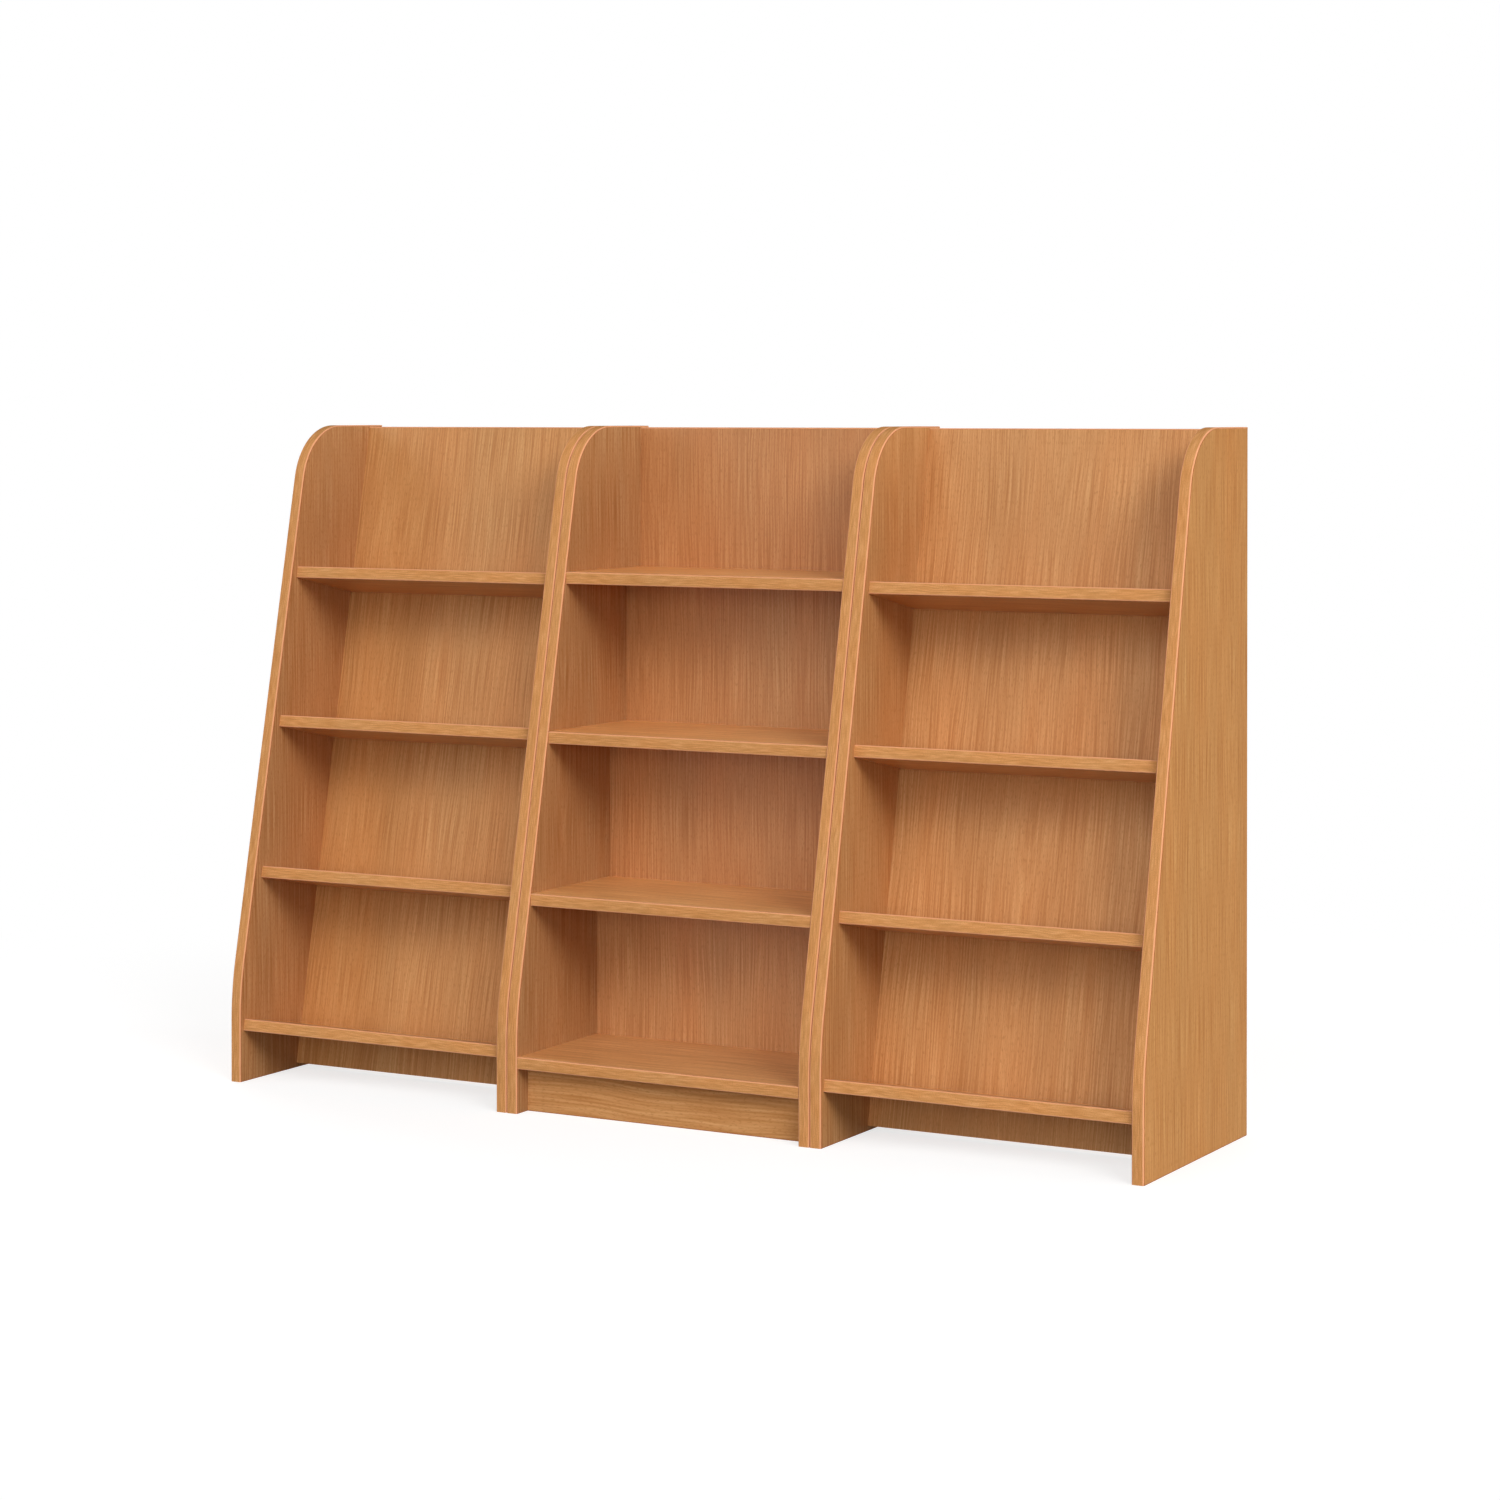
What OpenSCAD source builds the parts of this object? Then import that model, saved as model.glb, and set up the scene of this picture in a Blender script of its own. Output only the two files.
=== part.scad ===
// Display bookcase: a straight bookcase between two sloping display units.
// Every board is melamine-faced chipboard in a beech finish, with plastic edging
// on the edges that show. X runs along the row, Y from front to rear and Z up.
// The origin is on the floor under the middle of the row.

/* [Row of units] */
// Width of one unit over its two sides
unit_w = 500; // [440:5:800]
// Height of the side panels
unit_h = 1000; // [990:1:1050]
// Depth of the side panels from front to rear
unit_d = 377; // [372:1:430]
// Thickness of every board
board_t = 18; // [16:0.5:22]

/* [Side outline] */
// Lean of the sloping front edge from upright, in degrees
front_lean = 11.8; // [9:0.1:12.5]
// Height where the upright toe and the sloping edge would meet in a corner
toe_h = 140; // [110:5:180]
// Radius of the curve that leads the toe into the slope
toe_r = 450; // [200:10:700]
// Radius of the rounded front top corner
crown_r = 100; // [40:5:120]

/* [Edging] */
// Thickness of the edging strips
edging_t = 2; // [2:0.1:3]
// Radius of the long corners of the strips
edging_r = 1.8; // [0.5:0.1:1.9]

/* [Display units] */
// Lean of the sloping back from upright, in degrees
back_lean = 11.3; // [9:0.1:12]
// Distance from the front of the sides to the sloping back, along the floor
back_foot_y = 142; // [132:1:146]
// Depth of a display shelf in front of the back, with its edging
display_shelf_d = 147; // [110:1:150]
// Distance from one display shelf to the next, along the sloping back
display_pitch = 233; // [200:1:240]
// Distance from the floor line to the underside of the lowest display shelf
display_first = 50; // [40:1:70]
// Gap between the floor and the sloping back
back_gap = 3.5; // [1:0.5:8]
// Drop from the top of the sides to the top of the backs
back_drop = 2.3; // [0:0.1:10]

/* [Straight bookcase] */
// Height of the plinth, up to the underside of the bottom shelf
plinth_h = 65; // [55:1:85]
// Set-back of the plinth from the front of the sides
plinth_recess = 30; // [10:1:60]
// Distance from one level shelf to the next
shelf_pitch = 233.5; // [200:0.5:240]
// Set-back of a shelf from the front edge of the sides, at its top face
shelf_setback = 1.2; // [0.5:0.1:6]
// Clear depth of a shelf in front of its back panel
shelf_clear_d = 222.7; // [180:0.1:230]
// Set-back of the highest back panel from the rear edge of the sides
back_inset = 7; // [3:0.5:12]

/* [Dowels] */
// Diameter of a dowel
dowel_d = 8; // [6:0.5:10]
// Length of a dowel
dowel_l = 35; // [28:1:40]
// Length of the part of a dowel that sits in a side panel
dowel_in_side = 11.5; // [8:0.5:13]
// Distance from the end of a board's edge to its outer dowels
dowel_inset = 36; // [28:1:45]
// Clear space round a dowel and past each of its ends
dowel_clear = 0.1; // [0.05:0.05:0.3]

/* [Screws in the sloping backs] */
// Diameter of a screw's shank
screw_d = 4; // [3:0.5:5]
// Length of a screw
screw_l = 50; // [40:1:60]
// Diameter of a screw's countersunk head
screw_head_d = 8; // [7:0.5:10]
// Distance from the side panels to the outer screws
screw_inset = 70; // [50:1:120]
// Clear space round a screw
screw_clear = 0.1; // [0.05:0.05:0.3]

/* [Joining bolts] */
// Diameter of a joining bolt's shank
bolt_d = 6; // [5:0.5:7]
// Outer diameter of the sleeve nut that takes the bolt
sleeve_d = 8; // [8:0.5:10]
// Diameter of the flat heads of bolt and sleeve
bolt_head_d = 15; // [12:0.5:18]
// Thickness of the flat heads
bolt_head_t = 1.5; // [1:0.1:2.5]
// Distance from the rear edge of the sides to the bolts
bolt_inset = 24; // [20:1:28]
// Height of the lowest bolts above the floor
bolt_first = 150; // [120:5:180]
// Distance from one bolt to the next above it
bolt_pitch = 250; // [200:5:280]
// Clear space between bolt, sleeve and board
bolt_clear = 0.1; // [0.05:0.05:0.2]

/* [Hidden] */
SHELVES = 4;
BOLTS = 3;
DISPLAYS = ["left_display", "right_display"];
DISPLAY_PIECES = ["left_side", "right_side", "left_edging", "right_edging", "left_rear_edging",
    "right_rear_edging", "back", "back_edging", "dowels", "back_screws"];
BOOKCASE_PIECES = ["left_side", "right_side", "left_edging", "right_edging", "left_rear_edging",
    "right_rear_edging", "back_edging", "plinth", "dowels"];

$fn = 96;
BEECH = "#c58b55";
EDGING = "#d39a62";
DOWEL = "#d9b98a";
ZINC = "#b9bcc0";

// Clear width between the two sides of a unit
clear_w = unit_w - 2 * board_t;
// Depth of a dowel's hole in a side panel and in the end of a board
side_hole = dowel_in_side + dowel_clear;
board_hole = dowel_l - dowel_in_side + dowel_clear;
// Reach of a cutting shape past the face that it opens
past = 1;
// A bend in an edging strip is a hair thinner all round than the straights, and runs
// into both of them by bend_lap
bend_ease = 0.02;
bend_lap = 0.5;

// Outline of a side panel in Y and Z: the toe curve runs from toe_start to
// toe_end, and the crown curve from crown_start to crown_end
FORWARD = [-1, 0];
UP = [0, 1];
slope_dir = [sin(front_lean), cos(front_lean)];
slope_out = [-cos(front_lean), sin(front_lean)];
toe_reach = toe_r * tan(front_lean / 2);
toe_start = [0, toe_h - toe_reach];
toe_end = [0, toe_h] + toe_reach * slope_dir;
toe_centre = toe_start + [toe_r, 0];
crown_turn = 90 - front_lean;
crown_reach = crown_r * tan(crown_turn / 2);
crown_corner = [(unit_h - toe_h) * tan(front_lean), unit_h];
crown_start = crown_corner - crown_reach * slope_dir;
crown_end = crown_corner + [crown_reach, 0];
crown_centre = crown_end - [0, crown_r];

// Front edge of a side panel at height z
function side_front(z) =
    z <= toe_start.y ? 0
    : z < toe_end.y ? toe_r - sqrt(toe_r * toe_r - pow(z - toe_start.y, 2))
    : (z - toe_h) * tan(front_lean);

// Foot and top of a sloping back, along its own slope
slope_foot = (back_gap + board_t * sin(back_lean)) / cos(back_lean);
slope_top = (unit_h - back_drop) / cos(back_lean);

// Underside of shelf k, along the sloping back and above the floor
function display_z(k) = display_first + (k - 1) * display_pitch;
function shelf_z(k) = plinth_h + (k - 1) * shelf_pitch;

// Front edge of level shelf k, and front face of the back panel that stands on it
function shelf_y(k) = side_front(shelf_z(k) + board_t) + shelf_setback;
function panel_y(k) = min(shelf_y(k) + shelf_clear_d, unit_d - back_inset - board_t);
// Top of the back panel that stands on shelf k, without edging
function panel_top(k) = k < SHELVES ? shelf_z(k + 1) : unit_h - back_drop - edging_t;

// Dowels across one end of a board, as [y, z] points in the board's own frame
function row_of_three(y0, y1, z) =
    [for (y = [y0 + dowel_inset, (y0 + y1) / 2, y1 - dowel_inset]) [y, z]];
function display_shelf_pins(k) =
    row_of_three(-display_shelf_d, 0, display_z(k) + board_t / 2);
display_back_pins =
    [for (k = [1 : SHELVES]) [board_t / 2, display_z(k) + board_t + dowel_inset]];
function shelf_pins(k) =
    row_of_three(shelf_y(k), panel_y(k) + board_t, shelf_z(k) + board_t / 2);
function panel_pins(k) =
    [for (z = [shelf_z(k) + board_t + dowel_inset, panel_top(k) - dowel_inset])
        [panel_y(k) + board_t / 2, z]];
plinth_pins =
    [for (z = [plinth_h / 4, 3 * plinth_h / 4]) [plinth_recess + board_t / 2, z]];

display_pins = concat(display_back_pins,
    [for (k = [1 : SHELVES]) each display_shelf_pins(k)]);
bookcase_pins = concat(plinth_pins,
    [for (k = [1 : SHELVES]) each shelf_pins(k)],
    [for (k = [1 : SHELVES]) each panel_pins(k)]);

// Joining bolts, as [y, z] points in the sides
bolt_points = [for (i = [0 : BOLTS - 1]) [unit_d - bolt_inset, bolt_first + i * bolt_pitch]];

// Solid length of a sleeve nut behind its head, and what the bolt reaches past it
sleeve_blind = board_t / 3;
bolt_reach = 2 * board_t - sleeve_blind - bolt_clear;
socket_d = 0.75 * bolt_d;

// Screws along a display shelf, as X positions, and the cross recess in their heads
screw_x = [-(clear_w / 2 - screw_inset), 0, clear_w / 2 - screw_inset];
recess_l = 0.6 * screw_head_d;
recess_w = 0.14 * screw_head_d;
recess_deep = 0.35 * screw_d;

// Puts a unit's own frame in the row: x is the middle of the unit, and the
// unit's Y starts at the front of its sides
module in_row(x) {
    translate([x, -unit_d / 2, 0]) children();
}

// Turns the upright frame of a display back into the sloping one: Y becomes
// square to the back and Z runs up its front face
module on_slope() {
    translate([0, back_foot_y, 0]) rotate([-back_lean, 0, 0]) children();
}

// A round bar along X from x0 to x1 at a [y, z] point
module bar_x(p, d, x0, x1) {
    translate([x0, p.x, p.y]) rotate([0, 90, 0]) cylinder(d = d, h = x1 - x0);
}

// Dowels at both ends of the boards between two sides
module dowel_set(points) {
    for (p = points, end = [0, 1]) mirror([end, 0, 0])
        bar_x(p, dowel_d, clear_w / 2 + dowel_in_side - dowel_l, clear_w / 2 + dowel_in_side);
}

// Holes in both ends of a board for its dowels
module board_end_holes(points) {
    for (p = points, end = [0, 1]) mirror([end, 0, 0])
        bar_x(p, dowel_d + 2 * dowel_clear, clear_w / 2 - board_hole, clear_w / 2 + past);
}

// Holes in the inner faces of the two sides for the same dowels
module side_holes(points) {
    for (p = points, end = [0, 1]) mirror([end, 0, 0])
        bar_x(p, dowel_d + 2 * dowel_clear, clear_w / 2 - past, clear_w / 2 + side_hole);
}

// Corner of an outline moved inwards by e from both of the edges that meet there,
// which face from_dir and to_dir
function inset_corner(p, from_dir, to_dir, e) =
    p - e * (from_dir + to_dir) / (1 + from_dir * to_dir);

// Outline of a side panel in Y and Z, inset by e from the finished edge
module side_outline(e) {
    difference() {
        polygon([[e, 0], inset_corner([0, toe_h], FORWARD, slope_out, e),
            inset_corner(crown_corner, slope_out, UP, e), [unit_d - e, unit_h - e],
            [unit_d - e, 0]]);
        corner_waste(toe_centre, toe_r - e, FORWARD, slope_out);
        corner_waste(crown_centre, crown_r - e, slope_out, UP);
    }
}

// What rounding takes off a corner, outside the disc that touches both edges
module corner_waste(centre, r, from_dir, to_dir) {
    reach = r + past;
    translate(centre) difference() {
        polygon([[0, 0], reach * from_dir,
            reach * (from_dir + to_dir) / (1 + from_dir * to_dir), reach * to_dir]);
        circle(r, $fn = 360);
    }
}

// Side board between its edging strips, centred on x = 0
module side_board() {
    rotate([90, 0, 90]) linear_extrude(board_t, center = true) side_outline(edging_t);
}

// Section of an edging strip, smaller all round by ease: X points out of the board,
// and Y is along its thickness
module edging_section(ease = 0) {
    half_w = board_t / 2 - ease;
    face = edging_t - ease;
    core = half_w - edging_r;
    intersection() {
        translate([ease, -half_w]) square([face - ease, 2 * half_w]);
        union() {
            translate([0, -half_w]) square([face - edging_r, 2 * half_w]);
            translate([0, -core]) square([face, 2 * core]);
            for (y = [-core, core]) translate([face - edging_r, y]) circle(edging_r);
        }
    }
}

// A straight length of edging along Z; what follows starts at its end
module straight_run(length) {
    linear_extrude(length) edging_section();
    translate([0, 0, length]) children();
}

// A length of edging bent by angle to the finished radius r; what follows starts
// at its end, turned with it
module curved_run(r, angle) {
    core_r = r - edging_t;
    lap_angle = asin(bend_lap / r);
    translate([-core_r, 0, 0]) rotate([90, 0, 0]) rotate([0, 0, -lap_angle])
        rotate_extrude(angle = angle + 2 * lap_angle, $fn = 360)
            translate([core_r, 0]) edging_section(bend_ease);
    translate([core_r * (cos(angle) - 1), 0, core_r * sin(angle)]) rotate([0, -angle, 0])
        children();
}

// Strip up the front of a side, round its crown and along its top
module side_edging() {
    color(EDGING) translate([0, edging_t, 0]) rotate([0, 0, -90])
        straight_run(toe_start.y)
        curved_run(toe_r, front_lean)
        straight_run(norm(crown_start - toe_end))
        curved_run(crown_r, crown_turn)
        straight_run(unit_d - crown_end.x);
}

// Strip up the rear of a side, under the end of the top strip
module rear_edging() {
    color(EDGING) translate([0, unit_d - edging_t, 0]) rotate([0, 0, 90])
        straight_run(unit_h - edging_t);
}

// Strip along the front of a shelf, whose underside is at z and whose front is at y
module shelf_edging(y, z) {
    color(EDGING) translate([0, y + edging_t, z + board_t / 2]) rotate([0, 90, 0]) rotate([0, 0, -90])
        linear_extrude(clear_w, center = true) edging_section();
}

// Strip along the top of a back, whose front face is at y and whose top is at z
module back_top_edging(y, z) {
    color(EDGING) translate([0, y + board_t / 2, z - edging_t]) rotate([0, -90, 0])
        linear_extrude(clear_w, center = true) edging_section();
}

// A board between the sides: low and high are its [y, z] corners
module board_across(low, high) {
    translate([-clear_w / 2, low.x, low.y]) cube([clear_w, high.x - low.x, high.y - low.y]);
}

// Side of a display unit; hand is -1 on the left and 1 on the right
module display_side(hand, joined) {
    color(BEECH) difference() {
        translate([hand * (unit_w - board_t) / 2, 0, 0]) side_board();
        on_slope() side_holes(display_pins);
        if (joined) bolt_holes(hand);
    }
}

// Side of the straight bookcase
module bookcase_side(hand) {
    color(BEECH) difference() {
        translate([hand * (unit_w - board_t) / 2, 0, 0]) side_board();
        side_holes(bookcase_pins);
        bolt_holes(hand);
    }
}

// Edging strips of the side on one hand
module side_strip(hand) {
    translate([hand * (unit_w - board_t) / 2, 0, 0]) side_edging();
}

module rear_strip(hand) {
    translate([hand * (unit_w - board_t) / 2, 0, 0]) rear_edging();
}

// Holes through a side for the joining bolts
module bolt_holes(hand) {
    middle = hand * (unit_w - board_t) / 2;
    for (p = bolt_points)
        bar_x(p, sleeve_d + 2 * bolt_clear, middle - board_t / 2 - past, middle + board_t / 2 + past);
}

// Display shelf k, square to the sloping back
module display_shelf(k) {
    color(BEECH) on_slope() difference() {
        board_across([edging_t - display_shelf_d, display_z(k)], [0, display_z(k) + board_t]);
        board_end_holes(display_shelf_pins(k));
        screw_row(k, screw_clear);
    }
}

module display_shelf_edging(k) {
    on_slope() shelf_edging(-display_shelf_d, display_z(k));
}

// Sloping back in one piece, with its screw holes
module display_back() {
    color(BEECH) on_slope() difference() {
        board_across([0, slope_foot], [board_t, slope_top - edging_t]);
        board_end_holes(display_back_pins);
        for (k = [1 : SHELVES]) screw_row(k, screw_clear);
    }
}

module display_back_edging() {
    on_slope() back_top_edging(0, slope_top);
}

// Countersunk screws through the back into shelf k, made larger all round by
// clear to cut their holes
module screw_row(k, clear) {
    for (x = screw_x) translate([x, board_t, display_z(k) + board_t / 2]) rotate([90, 0, 0])
        screw_solid(clear);
}

// One screw along Z, with the flat of its head at z = 0
module screw_solid(clear) {
    head_h = (screw_head_d - screw_d) / 2;
    translate([0, 0, -clear]) cylinder(d = screw_d + 2 * clear, h = screw_l + 2 * clear);
    translate([0, 0, -clear])
        cylinder(d1 = screw_head_d + 2 * clear, d2 = screw_d + 2 * clear, h = head_h + clear);
}

// Cross recess in a screw's head
module cross_recess() {
    for (turn = [0, 90]) rotate([0, 0, turn])
        translate([-recess_l / 2, -recess_w / 2, -past])
            cube([recess_l, recess_w, past + recess_deep]);
}

module back_screws() {
    color(ZINC) on_slope() for (k = [1 : SHELVES], x = screw_x)
        translate([x, board_t, display_z(k) + board_t / 2]) rotate([90, 0, 0]) difference() {
            screw_solid(0);
            cross_recess();
        }
}

module display_dowels() {
    color(DOWEL) on_slope() dowel_set(display_pins);
}

// Level shelf k, deep enough to carry the back panel that stands on it
module bookcase_shelf(k) {
    color(BEECH) difference() {
        board_across([shelf_y(k) + edging_t, shelf_z(k)],
            [panel_y(k) + board_t, shelf_z(k) + board_t]);
        board_end_holes(shelf_pins(k));
    }
}

module bookcase_shelf_edging(k) {
    shelf_edging(shelf_y(k), shelf_z(k));
}

// Upright back panel that stands on shelf k
module bookcase_back(k) {
    color(BEECH) difference() {
        board_across([panel_y(k), shelf_z(k) + board_t], [panel_y(k) + board_t, panel_top(k)]);
        board_end_holes(panel_pins(k));
    }
}

module bookcase_back_edging() {
    back_top_edging(panel_y(SHELVES), unit_h - back_drop);
}

module bookcase_plinth() {
    color(BEECH) difference() {
        board_across([plinth_recess, 0], [plinth_recess + board_t, plinth_h]);
        board_end_holes(plinth_pins);
    }
}

module bookcase_dowels() {
    color(DOWEL) dowel_set(bookcase_pins);
}

// Hexagon socket in a flat head, which is at z = 0 and above
module hex_socket() {
    translate([0, 0, -past]) cylinder(d = socket_d, h = past + bolt_head_t, $fn = 6);
}

// Sleeve nut along Z, with its head below z = 0 and its bore right to its end
module sleeve_solid() {
    difference() {
        union() {
            translate([0, 0, -bolt_head_t]) cylinder(d = bolt_head_d, h = bolt_head_t);
            cylinder(d = sleeve_d, h = 2 * board_t - bolt_clear);
        }
        translate([0, 0, sleeve_blind]) cylinder(d = bolt_d + 2 * bolt_clear, h = 2 * board_t);
        translate([0, 0, -bolt_head_t]) hex_socket();
    }
}

// Bolt along Z, with its head below z = 0
module bolt_solid() {
    difference() {
        union() {
            translate([0, 0, -bolt_head_t]) cylinder(d = bolt_head_d, h = bolt_head_t);
            cylinder(d = bolt_d, h = bolt_reach);
        }
        translate([0, 0, -bolt_head_t]) hex_socket();
    }
}

// Bolts stand on the bookcase's inner faces, sleeves on the display units'
module joining_bolts() {
    color(ZINC) for (end = [-1, 1], p = bolt_points)
        translate([end * (unit_w / 2 - board_t), p.x, p.y]) rotate([0, end * 90, 0]) bolt_solid();
}

module joining_sleeves() {
    color(ZINC) for (end = [-1, 1], p = bolt_points)
        translate([end * (unit_w / 2 + board_t), p.x, p.y]) rotate([0, -end * 90, 0])
            sleeve_solid();
}

// The two display units, one at each end of the row
for (i = [0, 1]) {
    unit = DISPLAYS[i];
    place = i == 0 ? -1 : 1;
    in_row(place * unit_w) {
        display_side(-1, place > 0);
        display_side(1, place < 0);
        side_strip(-1);
        side_strip(1);
        rear_strip(-1);
        rear_strip(1);
        display_back();
        display_back_edging();
        display_dowels();
        back_screws();
        for (k = [1 : SHELVES]) {
            display_shelf(k);
            display_shelf_edging(k);
        }
    }
}

// The straight bookcase between them, and what joins the three units
in_row(0) {
    bookcase_side(-1);  // bookcase_left_side
    bookcase_side(1);  // bookcase_right_side
    side_strip(-1);  // bookcase_left_edging
    side_strip(1);  // bookcase_right_edging
    rear_strip(-1);  // bookcase_left_rear_edging
    rear_strip(1);  // bookcase_right_rear_edging
    bookcase_back_edging();
    bookcase_plinth();
    bookcase_dowels();
    for (k = [1 : SHELVES]) {
        bookcase_shelf(k);
        bookcase_shelf_edging(k);
        bookcase_back(k);
    }
    joining_bolts();
    joining_sleeves();
}
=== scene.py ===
# %% [markdown]
# # A row of library bookcases in beech-effect board
#
# The object is three units side by side: a straight bookcase with a plinth, between
# two display units whose shelves tilt back against one sloping board. Everything is
# melamine-faced chipboard, 18 mm thick, with a plastic strip glued round the edges.
#
# Almost every board is a plain rectangle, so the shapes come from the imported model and
# stay as they are. What the eye reads is the finish: the printed beech grain, the
# way it is cut off at each board's own end, and the thin plain line along every edge
# where the strip's print has been trimmed away. That is what this script makes.

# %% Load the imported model
import math

import bpy
import numpy as np
from mathutils import Matrix, Vector


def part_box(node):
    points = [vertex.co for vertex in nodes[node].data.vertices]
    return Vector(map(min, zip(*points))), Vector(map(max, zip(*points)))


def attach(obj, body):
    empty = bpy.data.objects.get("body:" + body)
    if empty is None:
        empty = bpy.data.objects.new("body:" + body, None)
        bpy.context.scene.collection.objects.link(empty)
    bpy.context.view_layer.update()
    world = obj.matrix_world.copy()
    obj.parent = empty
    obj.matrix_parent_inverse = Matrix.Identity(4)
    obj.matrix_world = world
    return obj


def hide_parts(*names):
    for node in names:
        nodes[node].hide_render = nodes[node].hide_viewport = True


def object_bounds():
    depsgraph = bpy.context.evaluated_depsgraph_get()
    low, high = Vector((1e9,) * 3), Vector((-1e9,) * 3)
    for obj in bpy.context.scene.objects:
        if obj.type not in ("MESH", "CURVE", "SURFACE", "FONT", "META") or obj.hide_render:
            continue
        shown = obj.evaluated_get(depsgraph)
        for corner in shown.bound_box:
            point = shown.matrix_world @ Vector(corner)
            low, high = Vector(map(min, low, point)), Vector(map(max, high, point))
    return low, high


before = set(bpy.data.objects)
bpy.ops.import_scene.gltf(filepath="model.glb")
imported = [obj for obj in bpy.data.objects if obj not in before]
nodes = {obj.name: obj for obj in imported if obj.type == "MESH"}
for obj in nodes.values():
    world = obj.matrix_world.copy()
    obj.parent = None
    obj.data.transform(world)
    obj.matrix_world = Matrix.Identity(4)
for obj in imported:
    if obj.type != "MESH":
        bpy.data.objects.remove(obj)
packed_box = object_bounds()
print("nodes:", len(nodes), "box:", [[round(v, 4) for v in corner] for corner in packed_box])

# %% [markdown]
# ## Sizes that the finish needs
#
# A board's place is read from the model, so only the sizes that a box cannot tell are
# written here: the lean of the tilted boards and the curves of a side's outline. They
# could be measured from the vertices instead, but a few named numbers are easier to
# follow, and a check further down shows that the strips really meet the boards.

# %% Sizes, in metres and radians
MM = 0.001
BOARD_T = 18 * MM
STRIP_T = 2 * MM
STRIP_R = 1.8 * MM
TOE_H = 140 * MM
TOE_R = 450 * MM
CROWN_R = 100 * MM
FRONT_LEAN = math.radians(11.8)
BACK_LEAN = math.radians(11.3)
SHELVES = range(1, 5)
DISPLAYS = ("left_display", "right_display")
UNITS = DISPLAYS + ("bookcase",)
leans = [round(math.tan(lean), 3) for lean in (FRONT_LEAN, BACK_LEAN)]
print("lean of the front and of the back, per metre:", *leans)

# %% [markdown]
# ## Two helpers for materials
#
# Colours are easiest to choose as the hex values a colour picker gives, but shaders
# work with linear light, so one function turns the first into the second. A second
# one adds a node, sets it up and links it in a single call, which keeps a material
# readable from top to bottom like a recipe.
#
# Sockets go by their order where that is plain. A Mix node holds those of all its
# kinds at once: 0 is the share, 2 and 3 are numbers, 4 and 5 vectors, 6 and 7 colours,
# and of its outputs 0 is the number, 1 the vector and 2 the colour.

# %% Colour and node helpers
def linear(hex_code):
    """A hex colour as linear light: each channel s becomes s / 12.92 where it is dark,
    and ((s + 0.055) / 1.055) to the power 2.4 elsewhere."""
    channels = [int(hex_code[i : i + 2], 16) / 255 for i in (1, 3, 5)]
    return (*[s / 12.92 if s <= 0.04045 else ((s + 0.055) / 1.055) ** 2.4 for s in channels], 1.0)


def add(tree, kind, *values, inputs=None, output=0, **settings):
    """Adds one node, sets it up, links it and gives back one of its outputs. Its
    sockets are filled in order by values, or by name or number from inputs, and each
    of these is a number, a colour, a vector or another node's output."""
    node = tree.nodes.new("ShaderNode" + kind)
    for name, value in settings.items():
        setattr(node, name, value)
    for socket, value in {**dict(enumerate(values)), **(inputs or {})}.items():
        if isinstance(value, bpy.types.NodeSocket):
            tree.links.new(value, node.inputs[socket])
        else:
            node.inputs[socket].default_value = value
    return node.outputs[output] if node.outputs else None


def new_material(name):
    """An empty material and its node tree."""
    material = bpy.data.materials.new(name)
    material.use_nodes = True
    material.node_tree.nodes.clear()
    return material, material.node_tree


print("a mid beech as linear light:", [round(v, 3) for v in linear("#CE935B")])

# %% [markdown]
# ## The beech print
#
# The face of the board is paper printed with a photograph of beech and pressed under
# clear melamine. Beech has long hair lines two or three millimetres apart, wider soft
# streaks, arches where the log was cut near its heart, and thousands of short dark
# flecks. A real print is an image, but here it is worked out, so it has no resolution
# and every board can start from another place in the sheet.
#
# The pattern is drawn in the board's own directions: X runs across the grain and Y
# along it, in metres. Each layer is a noise stretched along the grain by its own real
# sizes, and all of them go into one node group that the boards and strips share.

# %% Start the print and say what a layer of grain is
beech_print = bpy.data.node_groups.new("beech_print", "ShaderNodeTree")
beech_print.interface.new_socket("Place", in_out="INPUT", socket_type="NodeSocketVector")
beech_print.interface.new_socket("Sway", in_out="INPUT", socket_type="NodeSocketFloat")
for name in ("Tone", "Warmth", "Fleck"):
    beech_print.interface.new_socket(name, in_out="OUTPUT", socket_type="NodeSocketFloat")
place, sway_amount, _ = beech_print.nodes.new("NodeGroupInput").outputs


def grain_layer(tree, place, cell, detail=2.0):
    """Noise whose cells measure cell, in millimetres across the grain and along it:
    the place is divided by the cell before the noise reads it. Each step of detail
    adds cells half as large at half the strength."""
    per_metre = (1 / (cell[0] * MM), 1 / (cell[1] * MM), 0)
    scaled = add(tree, "VectorMath", place, per_metre, operation="MULTIPLY")
    return add(tree, "TexNoise", inputs={"Vector": scaled, "Scale": 1.0, "Detail": detail},
        noise_dimensions="2D")


print("inputs and outputs of the print:", [item.name for item in beech_print.interface.items_tree])

# %% [markdown]
# ### Sway
#
# Wood fibres wander a little as the tree grows. Each line could be bent by itself, but
# then neighbours would cross. Instead one slow noise pushes the place sideways by up to
# 9 mm before any line is drawn, so the lines, streaks and flecks sway together as one
# piece of wood. A material can ask for less of it.

# %% The sway that every layer shares
SWAY_CELL = (110.0, 380.0)
SWAY_REACH = 9.0

sway = grain_layer(beech_print, place, SWAY_CELL)
reach = SWAY_REACH * MM
push = add(beech_print, "Math", sway, 2 * reach, -reach, operation="MULTIPLY_ADD")
push = add(beech_print, "Math", push, sway_amount, operation="MULTIPLY")
across, along, _ = add(beech_print, "SeparateXYZ", place).node.outputs
across = add(beech_print, "Math", across, push, operation="ADD")
swayed = add(beech_print, "CombineXYZ", across, along)
print("the grain sways by", SWAY_REACH, "mm over", SWAY_CELL[1], "mm")

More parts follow.
